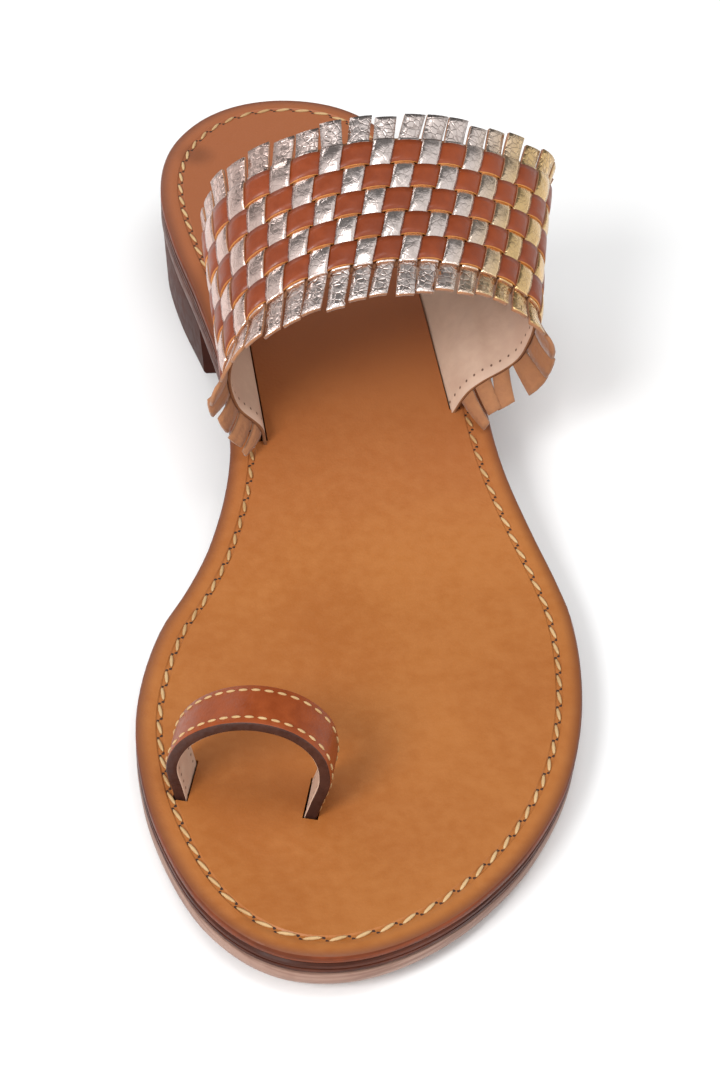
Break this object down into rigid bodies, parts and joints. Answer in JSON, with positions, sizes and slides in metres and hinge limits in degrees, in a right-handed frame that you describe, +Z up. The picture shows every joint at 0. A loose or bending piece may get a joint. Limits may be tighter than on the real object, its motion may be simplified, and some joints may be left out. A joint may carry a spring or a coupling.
{
  "type": "leather sandal",
  "caption": "Leather toe-loop sandal for the left foot: stitched layered sole on a low block heel, a plaited tan and metallic instep band with fringed edges, and a loop for the big toe.",
  "frame": {"origin": "on the floor, under the middle of the sandal's box", "axes": "+Z up, toe towards -Y and heel towards +Y, outer (lateral) side of the left foot towards +X"},
  "size_m": [0.098, 0.252, 0.0681],
  "materials": {
    "outsole": "polished edge",
    "midsole": "dark burnished edge",
    "footbed": "smooth vegetable-tanned",
    "heel": "polished",
    "woven_band": "metallic foil and tan strips",
    "toe_loop": "smooth with painted edges"
  },
  "bodies": {
    "root": {"outsole": "outsole", "midsole": "midsole", "footbed": "footbed", "heel": "heel", "woven_band": "woven_band", "toe_loop": "toe_loop"}
  },
  "joints": []
}
